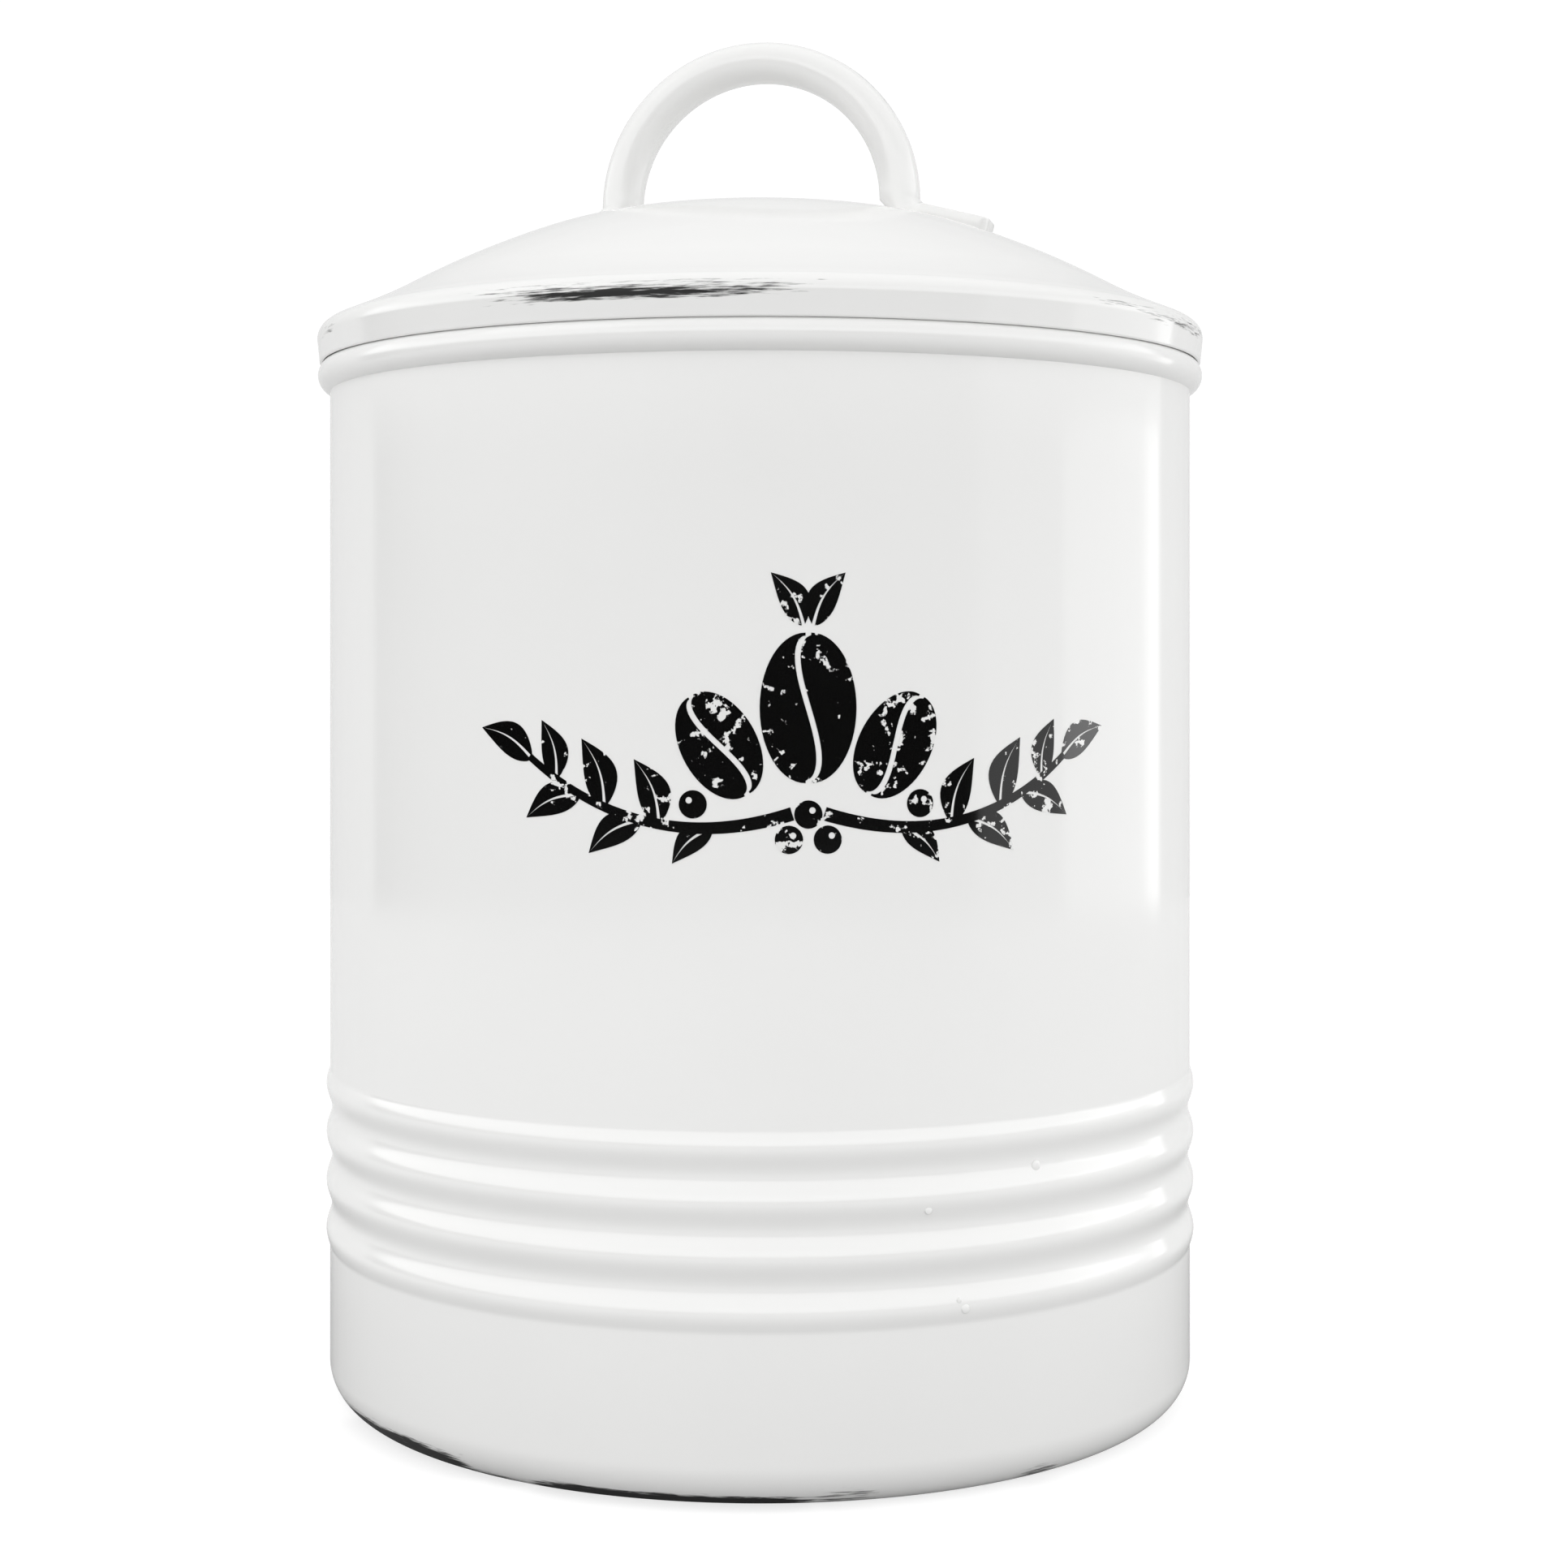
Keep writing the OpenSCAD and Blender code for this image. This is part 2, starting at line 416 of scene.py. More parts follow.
class Outline:
    """A section outline in the plane of radius and height, drawn with lines and arcs, in metres."""

    def __init__(self) -> None:
        """Starts an empty outline."""
        self.points: list[Vector] = []

    def to(self, radius: float, height: float, steps: int = 1) -> "Outline":
        """Draws a straight line, or places the first point.

        Args:
            radius: Distance of the line's end from the axis.
            height: Height of the line's end.
            steps: How many pieces the line is cut into.

        Returns:
            The outline itself, so that calls can follow each other.
        """
        end = Vector((radius, 0.0, height))
        if not self.points:
            self.points.append(end)
            return self
        start = self.points[-1].copy()
        self.points += [start.lerp(end, i / steps) for i in range(1, steps + 1)]
        return self

    def arc(
        self, centre: tuple[float, float], radius: float, start: float, end: float, steps: int
    ) -> "Outline":
        """Draws a circular arc, joined to the last point by a line.

        Args:
            centre: Radius and height of the arc's centre.
            radius: The arc's own radius.
            start: Angle of the arc's first point in degrees, 0 pointing outwards and 90 up.
            end: Angle of its last point.
            steps: How many pieces the arc is cut into.

        Returns:
            The outline itself.
        """
        for i in range(steps + 1):
            angle = math.radians(start + (end - start) * i / steps)
            spot = (centre[0] + radius * math.cos(angle), 0.0, centre[1] + radius * math.sin(angle))
            self.points.append(Vector(spot))
        return self


@dataclass(frozen=True)
class Scrape:
    """A stretch of a rim where the enamel is rubbed through."""

    centre: float
    half_width: float
    height: float
    half_height: float
    depth: float = 1.0

    def amount(self, angle: float, height: float) -> float:
        """Says how far the coat is worn at a spot.

        Args:
            angle: Direction of the spot in degrees, 0 at the front and positive to the right.
            height: Height of the spot, in metres.

        Returns:
            0 for sound enamel up to the scrape's depth at its middle.
        """
        across = abs((angle - self.centre + 180) % 360 - 180) / self.half_width
        along = abs(height - self.height) / self.half_height
        if across >= 1 or along >= 1:
            return 0.0
        return self.depth * (1 - across**4) * (1 - along**2)


@dataclass(frozen=True)
class Pimple:
    """A bead of enamel that ran together over a speck of dirt: its direction, height and radius."""

    angle: float
    height: float
    radius: float


def round_the_axis(spot: Vector) -> tuple[float, float, float]:
    """Unrolls a spot round the tin's axis.

    Args:
        spot: The spot, in metres.

    Returns:
        Its direction in degrees, 0 at the front and positive to the right, its height and its radius.
    """
    return math.degrees(math.atan2(spot.x, -spot.y)), spot.z, spot.xy.length


def paint_wear(
    mesh: bpy.types.Mesh,
    scrapes: Iterable[Scrape],
    unroll: Callable[[Vector], tuple[float, float, float]] = round_the_axis,
) -> None:
    """Stores each vertex's wear, and its place unrolled flat for the pattern of the scrapes.

    Args:
        mesh: The finished mesh.
        scrapes: The worn stretches.
        unroll: Gives a spot's angle in degrees, its height or place across, and its radius.
    """
    spots = [unroll(vertex.co) for vertex in mesh.vertices]
    amounts = [max((s.amount(angle, height) for s in scrapes), default=0.0) for angle, height, _ in spots]
    places = [(math.radians(angle) * radius, height, radius) for angle, height, radius in spots]
    wear = mesh.attributes.new("wear", "FLOAT", "POINT")
    wear.data.foreach_set("value", amounts)
    wrap = mesh.attributes.new("wrap", "FLOAT_VECTOR", "POINT")
    wrap.data.foreach_set("vector", [number for place in places for number in place])


def finish_mesh(bm: bmesh.types.BMesh, name: str, crease: float = 40.0) -> bpy.types.Object:
    """Turns a bmesh into an object with smooth faces and sharp creases.

    Args:
        bm: The bmesh, which is freed.
        name: The new object's name.
        crease: Faces that meet at more than this many degrees keep a sharp edge.

    Returns:
        The object, linked to the scene.
    """
    mesh = bpy.data.meshes.new(name)
    bm.to_mesh(mesh)
    bm.free()
    mesh.polygons.foreach_set("use_smooth", [True] * len(mesh.polygons))
    mesh.set_sharp_from_angle(angle=math.radians(crease))
    piece = bpy.data.objects.new(name, mesh)
    bpy.context.scene.collection.objects.link(piece)
    return piece


def spin_outline(outline: Outline, name: str, segments: int = 256) -> bpy.types.Object:
    """Turns an outline that starts and ends on the Z axis round it, into a closed piece.

    Args:
        outline: The section, in the plane of radius and height.
        name: The new object's name.
        segments: How many steps the turn has.

    Returns:
        The spun piece.
    """
    bm = bmesh.new()
    verts = [bm.verts.new(point) for point in outline.points]
    edges = [bm.edges.new(pair) for pair in zip(verts, verts[1:])]
    bmesh.ops.spin(
        bm,
        geom=verts + edges,
        cent=(0, 0, 0),
        axis=(0, 0, 1),
        angle=math.tau,
        steps=segments,
        use_merge=True,
    )
    bmesh.ops.remove_doubles(bm, verts=bm.verts, dist=WELD)
    bmesh.ops.dissolve_degenerate(bm, edges=bm.edges, dist=WELD)
    bmesh.ops.recalc_face_normals(bm, faces=bm.faces)
    return finish_mesh(bm, name)


def dress(
    piece: bpy.types.Object,
    material: bpy.types.Material,
    body: Body,
    replaced: str | None = None,
) -> bpy.types.Object:
    """Gives a piece its material and body, and hides the CAD node that it stands for.

    Args:
        piece: The piece.
        material: Its finish.
        body: The body that it moves with.
        replaced: The CAD node that it stands for, if any.

    Returns:
        The piece.
    """
    piece.data.materials.clear()
    piece.data.materials.append(material)
    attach(piece, body.value)
    if replaced:
        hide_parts(replaced)
    LOG.info("%s: %d faces on %s", piece.name, len(piece.data.polygons), body.value)
    return piece


# ---------------------------------------------------------------- the can


@dataclass
class Can:
    """The drawn can: wall, ribs, base and the bead rolled round its mouth."""

    sheet: float = 0.8 * MM
    base_corner: float = 5.8 * MM
    rest_ring: float = 50.0 * MM
    base_recess: float = 1.5 * MM
    base_step: float = 2 * MM
    rib_count: int = 4
    rib_start: float = 24.4 * MM
    rib_pitch: float = 6.87 * MM
    rib_proud: float = 0.5 * MM
    rib_sunk: float = 0.28 * MM
    bead: float = 2.4 * MM
    bead_proud: float = 1.7 * MM
    fillet: float = 0.35 * MM
    pimple_flatness: float = 0.35
    panel_steps: int = 6
    corner_steps: int = 28
    inner_corner_steps: int = 12
    rib_steps: int = 24
    wall_steps: int = 20
    bead_steps: int = 44
    scrapes: tuple[Scrape, ...] = (
        Scrape(-17.0, 19.5, 0.4 * MM, 1.9 * MM, 1.8),
        Scrape(-42.0, 7.5, 0.3 * MM, 1.4 * MM, 0.95),
        Scrape(-60.0, 18.0, 1.1 * MM, 2.9 * MM, 1.5),
        Scrape(5.0, 5.0, 1.3 * MM, 2.0 * MM, 0.6),
        Scrape(31.0, 4.0, 1.3 * MM, 1.7 * MM, 0.6),
    )
    pimples: tuple[Pimple, ...] = (
        Pimple(29.0, 40.9 * MM, 0.7 * MM),
        Pimple(14.1, 36.8 * MM, 0.5 * MM),
        Pimple(18.7, 24.2 * MM, 0.6 * MM),
        Pimple(17.9, 25.3 * MM, 0.35 * MM),
        Pimple(163.0, 71.0 * MM, 0.5 * MM),
    )
    mouth: float = field(init=False)
    wall: float = field(init=False)

    def __post_init__(self) -> None:
        """Reads the mouth's height and the wall's radius off the CAD can."""
        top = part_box("can_shell")[1]
        self.mouth = top.z
        self.wall = top.x - self.bead_proud

    @property
    def bead_centre(self) -> tuple[float, float]:
        """Radius and height of the bead's centre."""
        return self.wall + self.bead_proud - self.bead, self.mouth - self.bead

    def rib_offset(self, height: float) -> float:
        """Says how far the wall stands out at a height.

        Args:
            height: Height above the floor.

        Returns:
            The wall's offset from the plain wall, 0 outside the ribs.
        """
        turns = (height - self.rib_start) / self.rib_pitch
        middle, swing = (self.rib_proud - self.rib_sunk) / 2, (self.rib_proud + self.rib_sunk) / 2
        end = math.acos(-middle / swing) / math.tau
        if turns < -end or turns > self.rib_count - 1 + end:
            return 0.0
        return middle + swing * math.cos(math.tau * turns)

    def _rib_lines(self, outline: Outline, inset: float, upwards: bool) -> None:
        """Draws the wall past the ribs, inset from its outer face."""
        steps = self.rib_steps * self.rib_count
        low = self.rib_start - self.rib_pitch / 2
        rise = self.rib_pitch * self.rib_count / steps
        heights = [low + rise * i for i in range(steps + 1)]
        for height in heights if upwards else reversed(heights):
            outline.to(self.wall - inset + self.rib_offset(height), height)

    def build_shell(self, enamel: bpy.types.Material) -> bpy.types.Object:
        """Spins the can's sheet, from the axis out along the outside and back inside.

        Args:
            enamel: The can's finish.

        Returns:
            The shell.
        """
        corner = self.wall - self.base_corner
        centre = self.bead_centre
        foot = math.degrees(math.asin((self.wall - centre[0]) / self.bead))
        inner_foot = math.degrees(math.asin((self.wall - self.sheet - centre[0]) / self.bead))
        panel = self.rest_ring - self.base_step
        outline = Outline().to(0, self.base_recess)
        outline.to(panel, self.base_recess, self.panel_steps).to(self.rest_ring, 0)
        outline.arc((corner, self.base_corner), self.base_corner, -90, 0, self.corner_steps)
        self._rib_lines(outline, 0, True)
        outline.to(self.wall, self.mouth - 2 * self.bead - self.fillet, self.wall_steps)
        outline.arc(centre, self.bead, foot - 90, 270 + inner_foot, self.bead_steps)
        self._rib_lines(outline, self.sheet, False)
        inner_corner = self.base_corner - self.sheet
        outline.arc((corner, self.base_corner), inner_corner, 0, -90, self.inner_corner_steps)
        outline.to(self.rest_ring, self.sheet)
        outline.to(panel, self.base_recess + self.sheet)
        outline.to(0, self.base_recess + self.sheet)
        shell = spin_outline(outline, "can_enamelled_shell")
        paint_wear(shell.data, self.scrapes)
        return dress(shell, enamel, Body.CAN, "can_shell")

    def build_pimples(self, enamel: bpy.types.Material) -> bpy.types.Object:
        """Sets the few pimples in the enamel, flattened domes half sunk into the wall.

        Args:
            enamel: The can's finish.

        Returns:
            All pimples as one piece.
        """
        bm = bmesh.new()
        for pimple in self.pimples:
            turn = Matrix.Rotation(math.radians(pimple.angle), 4, "Z")
            spot = Vector((0, -self.wall - self.rib_offset(pimple.height), pimple.height))
            flatten = Matrix.Diagonal((1.0, self.pimple_flatness, 1.0, 1.0))
            place = turn @ Matrix.Translation(spot) @ flatten
            bmesh.ops.create_icosphere(bm, subdivisions=3, radius=pimple.radius, matrix=place)
        pimples = finish_mesh(bm, "can_enamel_pimples")
        paint_wear(pimples.data, ())
        return dress(pimples, enamel, Body.CAN)


# ---------------------------------------------------------------- the print


Curve = Callable[[float], Vector]


@dataclass(frozen=True)
class Bean:
    """A coffee bean of the print: its middle, length, width, and tilt from upright in degrees."""

    centre: tuple[float, float]
    length: float
    width: float
    tilt: float = 0.0


@dataclass
class FrontPrint:
    """The stamped ornament on the can's front: coffee beans over two leafy twigs, without any text.

    The ornament is laid out flat in millimetres, u to the right and v up from its middle, and
    then wrapped onto the wall as a thin film of ink.
    """

    can: Can
    middle: float = 96.0 * MM
    film: float = 0.05 * MM
    sunk: float = 0.02 * MM
    vein: float = 0.35
    middle_bean: Bean = Bean((0.0, 3.2), 18.5, 12.0)
    side_beans: tuple[Bean, ...] = (
        Bean((-11.0, -1.4), 14.0, 9.4, 30.0),
        Bean((11.0, -1.4), 14.0, 9.4, -30.0),
    )
    crease_swing: float = 0.11
    crease_reach: float = 0.48
    leaf_bow: float = 0.1
    leaf_belly: float = 0.23
    belly_lean: float = 0.8
    sprout: tuple[float, float] = (0.6, 13.4)
    sprout_leaf: tuple[float, float] = (58.0, 7.6)
    midrib: float = 0.22
    stem_root: float = 0.85
    stem_tip: float = 0.45
    twig: tuple[tuple[float, float], ...] = ((2.0, -9.8), (20.0, -15.5), (36.0, -3.0))
    upper_leaves: tuple[tuple[float, float, float], ...] = (
        (0.47, 68.0, 8.6),
        (0.68, 70.0, 9.0),
        (0.88, 74.0, 7.6),
        (0.99, 26.0, 8.6),
    )
    lower_leaves: tuple[tuple[float, float, float], ...] = (
        (0.28, -42.0, 6.6),
        (0.54, -32.0, 8.0),
        (0.78, -22.0, 8.2),
    )
    berry_radius: float = 1.75
    berry_spot: float = 0.4
    berry_spot_shift: float = 0.5
    twig_berry: tuple[float, float] = (0.35, 2.9)
    middle_berries: tuple[tuple[float, float], ...] = ((0.0, -9.9), (-2.4, -13.0), (2.4, -13.0))
    bean_mesh: tuple[int, int] = (28, 5)
    leaf_mesh: tuple[int, int] = (18, 3)
    stem_mesh: tuple[int, int] = (40, 2)
    berry_mesh: tuple[int, int] = (28, 2)

    def build(self, ink: bpy.types.Material) -> bpy.types.Object:
        """Lays the ornament out, gives it its thickness and dresses it.

        Args:
            ink: The print's finish.

        Returns:
            The print as one piece.
        """
        bm = bmesh.new()
        for bean in (self.middle_bean, *self.side_beans):
            self._bean(bm, bean)
        for side in (-1, 1):
            self._leaf(bm, Vector(self.sprout), *self.sprout_leaf, side)
            self._twig(bm, side)
        for berry in self.middle_berries:
            self._berry(bm, Vector(berry), 1)
        base = list(bm.faces)
        raised = bmesh.ops.extrude_face_region(bm, geom=base, use_keep_orig=True)
        top = [v for v in raised["geom"] if isinstance(v, bmesh.types.BMVert)]
        grow = 1 + (self.film + self.sunk) / self.can.wall
        bmesh.ops.scale(bm, verts=top, vec=(grow, grow, 1))
        bmesh.ops.recalc_face_normals(bm, faces=bm.faces)
        return dress(finish_mesh(bm, "can_front_print"), ink, Body.CAN)

    def _patch(
        self, bm: bmesh.types.BMesh, near: Curve, far: Curve, mesh: tuple[int, int], side: int = 1
    ) -> None:
        """Fills the strip between two flat curves and wraps it onto the wall.

        Args:
            bm: The print's bmesh.
            near: The first curve, from 0 to 1.
            far: The second curve.
            mesh: How many steps the strip has along the curves, and how many across.
            side: 1 to lay it out as drawn, -1 mirrored.
        """
        grid = bmesh.ops.create_grid(bm, x_segments=mesh[0], y_segments=mesh[1], size=0.5)
        for vertex in grid["verts"]:
            share = vertex.co.x + 0.5
            flat = near(share).lerp(far(share), vertex.co.y + 0.5) * MM
            radius = self.can.wall - self.sunk
            turn = side * flat.x / self.can.wall
            vertex.co = (radius * math.sin(turn), -radius * math.cos(turn), self.middle + flat.y)

    def _bean(self, bm: bmesh.types.BMesh, bean: Bean) -> None:
        """Draws a coffee bean as two halves beside a wavy crease.

        Args:
            bm: The print's bmesh.
            bean: The bean's place and size.
        """
        centre = Vector(bean.centre)
        turn = Matrix.Rotation(math.radians(bean.tilt), 2)
        for half in (-1, 1):

            def crease(share: float, half: int = half) -> Vector:
                """Follows the crease from the bean's foot to its top."""
                wave = self.crease_swing * bean.width * math.sin(math.tau * share)
                swing = wave + half * self.vein
                rise = self.crease_reach * bean.length * math.sin(math.pi * (share - 0.5))
                return centre + turn @ Vector((swing, rise))

            def rim(share: float, half: int = half) -> Vector:
                """Follows the bean's outline."""
                angle = math.pi * (share - 0.5)
                reach = self.vein + (bean.width / 2 - self.vein) * math.cos(angle)
                return centre + turn @ Vector((half * reach, bean.length / 2 * math.sin(angle)))

            self._patch(bm, crease, rim, self.bean_mesh)

    def _leaf(
        self, bm: bmesh.types.BMesh, base: Vector, heading: float, length: float, side: int
    ) -> None:
        """Draws a leaf as two blades beside a midrib that closes towards the tip.

        Args:
            bm: The print's bmesh.
            base: Where the leaf starts.
            heading: Its direction in degrees, 0 to the right and 90 up.
            length: Its length.
            side: 1 to lay it out as drawn, -1 mirrored.
        """
        turn = Matrix.Rotation(math.radians(heading), 2)
        for half in (-1, 1):

            def midrib(share: float, half: int = half) -> Vector:
                """Follows the midrib's edge, which bows a little."""
                bow = self.leaf_bow * length * math.sin(math.pi * share)
                across = bow + half * self.midrib * (1 - share)
                return base + turn @ Vector((length * share, across))

            def rim(share: float, half: int = half) -> Vector:
                """Follows the blade's outline."""
                belly = self.leaf_belly * length * math.sin(math.pi * share**self.belly_lean)
                return midrib(share, half) + turn @ Vector((0, half * belly))

            self._patch(bm, midrib, rim, self.leaf_mesh, side)

    def _twig(self, bm: bmesh.types.BMesh, side: int) -> None:
        """Draws one twig with its leaves and berries.

        Args:
            bm: The print's bmesh.
            side: 1 for the right twig, -1 for its mirror image on the left.
        """
        root, bend, tip = (Vector(point) for point in self.twig)

        def stem(share: float, offset: float = 0.0) -> Vector:
            """Follows the twig, or a line beside it."""
            first, second = root.lerp(bend, share), bend.lerp(tip, share)
            along = (second - first).normalized()
            return first.lerp(second, share) + Vector((-along.y, along.x)) * offset

        def edge(share: float, half: int) -> Vector:
            """Follows one edge of the stem, which thins towards its tip."""
            return stem(share, half * (self.stem_root + (self.stem_tip - self.stem_root) * share))

        self._patch(bm, partial(edge, half=-1), partial(edge, half=1), self.stem_mesh, side)
        for share, heading, length in self.upper_leaves + self.lower_leaves:
            self._leaf(bm, stem(share), heading, length, side)
        self._berry(bm, stem(*self.twig_berry), side)

    def _berry(self, bm: bmesh.types.BMesh, centre: Vector, side: int) -> None:
        """Draws a round coffee cherry with a small light spot.

        Args:
            bm: The print's bmesh.
            centre: The cherry's middle.
            side: 1 to lay it out as drawn, -1 mirrored.
        """

        def circle(share: float, radius: float, shift: float) -> Vector:
            """Goes once round a circle that sits beside the cherry's middle."""
            angle = math.tau * share
            return centre + Vector((radius * math.cos(angle) + shift, radius * math.sin(angle) + shift))

        spot = partial(circle, radius=self.berry_spot, shift=self.berry_spot_shift)
        rim = partial(circle, radius=self.berry_radius, shift=0.0)
        self._patch(bm, spot, rim, self.berry_mesh, side)


# ---------------------------------------------------------------- the lid


@dataclass
class Lid:
    """The domed lid: crown, flank, shoulder, skirt and a hem folded in over the bead."""

    can: Can
    sheet: float = 0.8 * MM
    crown_flat: float = 14.0 * MM
    arc_joints: tuple[tuple[float, float], ...] = ((34 * MM, 20.3), (52 * MM, 28.8), (60 * MM, 22.0))
    arc_steps: int = 16
    rim_rise: float = 2.8 * MM
    shoulder: float = 2.3 * MM
    shoulder_steps: int = 20
    skirt_slope: float = 100.0
    seat_gap: float = 0.08 * MM
    skirt_steps: int = 10
    lip: float = 0.3 * MM
    lip_angle: float = 47.0
    lip_start: float = -10.0
    lip_steps: int = 6
    lip_top: float = 0.09 * MM
    seat_angles: tuple[float, float] = (50.0, 100.0)
    seat_steps: int = 10
    leg_inset: float = 0.5 * MM
    leg_rise: float = 1.4 * MM
    leg_foot: float = 0.7 * MM
    scrapes: tuple[Scrape, ...] = (
        Scrape(-21.0, 14.0, 150.2 * MM, 1.0 * MM, 1.1),
        Scrape(-8.3, 4.0, 150.3 * MM, 0.75 * MM, 0.95),
        Scrape(-20.0, 23.0, 150.8 * MM, 1.4 * MM, 0.55),
        Scrape(44.0, 9.0, 151.3 * MM, 0.7 * MM, 0.5),
        Scrape(60.0, 14.0, 150.6 * MM, 1.2 * MM, 0.56),
        Scrape(-75.0, 5.0, 150.4 * MM, 1.2 * MM, 0.45),
    )
    rim: float = field(init=False)
    rim_height: float = field(init=False)

    def __post_init__(self) -> None:
        """Reads the rim's radius off the CAD lid, and sets its height above the mouth."""
        self.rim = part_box("lid_dome")[1].x
        self.rim_height = self.can.mouth + self.rim_rise

    def _on_shoulder(self, slope: float) -> tuple[float, float, float]:
        """Gives the shoulder's radius and height where it has a slope, with that slope."""
        turn = math.radians(slope)
        radius = self.rim - self.shoulder + self.shoulder * math.sin(turn)
        return radius, self.rim_height + self.shoulder * math.cos(turn), slope

    def dome_profile(self) -> list[tuple[float, float, float]]:
        """Works the dome's outer profile out, from the rim's shoulder inwards arc by arc.

        Returns:
            Radius, height and slope in degrees of each point, from the crown's edge to the skirt.
        """
        joints = [(self.crown_flat, 0.0), *self.arc_joints]
        flare, first = joints[-1]
        lean = (self.skirt_slope - first) / self.shoulder_steps
        shoulder = [self._on_shoulder(first + lean * i) for i in range(self.shoulder_steps + 1)]
        height = shoulder[0][1] + (shoulder[0][0] - flare) * math.tan(math.radians(first))
        flank = [(flare, height, first)]
        for (inner, low), (outer, high) in reversed(list(zip(joints, joints[1:]))):
            low_turn, high_turn = math.radians(low), math.radians(high)
            bend = (outer - inner) / (math.sin(high_turn) - math.sin(low_turn))
            foot = height
            for i in range(1, self.arc_steps + 1):
                slope = high + (low - high) * i / self.arc_steps
                turn = math.radians(slope)
                radius = inner + bend * (math.sin(turn) - math.sin(low_turn))
                height = foot + bend * (math.cos(turn) - math.cos(high_turn))
                flank.append((radius, height, slope))
        return flank[::-1] + shoulder

    def _hem_lines(self, outline: Outline) -> None:
        """Draws the hem: a rounded lip over the bead, a seat that follows it, and a leg inside."""
        seat = self.can.bead_centre
        hem = self.can.bead + self.seat_gap
        turn = math.radians(self.lip_angle)
        reach = hem + self.lip
        lip_centre = (seat[0] + reach * math.cos(turn), seat[1] + reach * math.sin(turn))
        leg = seat[0] - self.leg_inset
        leg_top = self.rim_height + self.leg_rise
        floor = self.can.mouth + self.seat_gap + self.sheet
        outline.to(lip_centre[0] + self.lip, lip_centre[1] + self.lip_top, self.skirt_steps)
        outline.arc(lip_centre, self.lip, self.lip_start, self.lip_angle - 180, self.lip_steps)
        outline.arc(seat, hem, *self.seat_angles, self.seat_steps)
        outline.to(leg, self.can.mouth + self.leg_foot).to(leg, leg_top)
        outline.to(leg + self.sheet, leg_top).to(leg + self.sheet, floor)
        outline.to(lip_centre[0] - self.leg_inset, floor)

    def build_dome(self, enamel: bpy.types.Material) -> bpy.types.Object:
        """Spins the dome, its shoulder, skirt and folded hem.

        Args:
            enamel: The lid's finish.

        Returns:
            The dome.
        """
        profile = self.dome_profile()
        crown = profile[0][1]
        outline = Outline().to(0, crown).to(self.crown_flat / 2, crown)
        for radius, height, _ in profile:
            outline.to(radius, height)
        self._hem_lines(outline)
        for radius, height, slope in reversed(profile):
            turn = math.radians(slope)
            outline.to(radius - self.sheet * math.sin(turn), height - self.sheet * math.cos(turn))
        outline.to(self.crown_flat / 2, crown - self.sheet).to(0, crown - self.sheet)
        dome = spin_outline(outline, "lid_enamelled_dome")
        paint_wear(dome.data, self.scrapes)
        return dress(dome, enamel, Body.LID, "lid_dome")


# ---------------------------------------------------------------- the handle


@dataclass(frozen=True)
class Station:
    """A cross-section of the bar, a rounded oblong: its middle, lean in degrees, sizes, squareness."""

    centre: Vector
    lean: float
    thick: float
    wide: float
    square: float

    def tilt(self, back: bool = False) -> Matrix:
        """Gives the turn from level to the section's lean, or the turn back."""
        return Matrix.Rotation(math.radians(self.lean if back else -self.lean), 3, "Y")


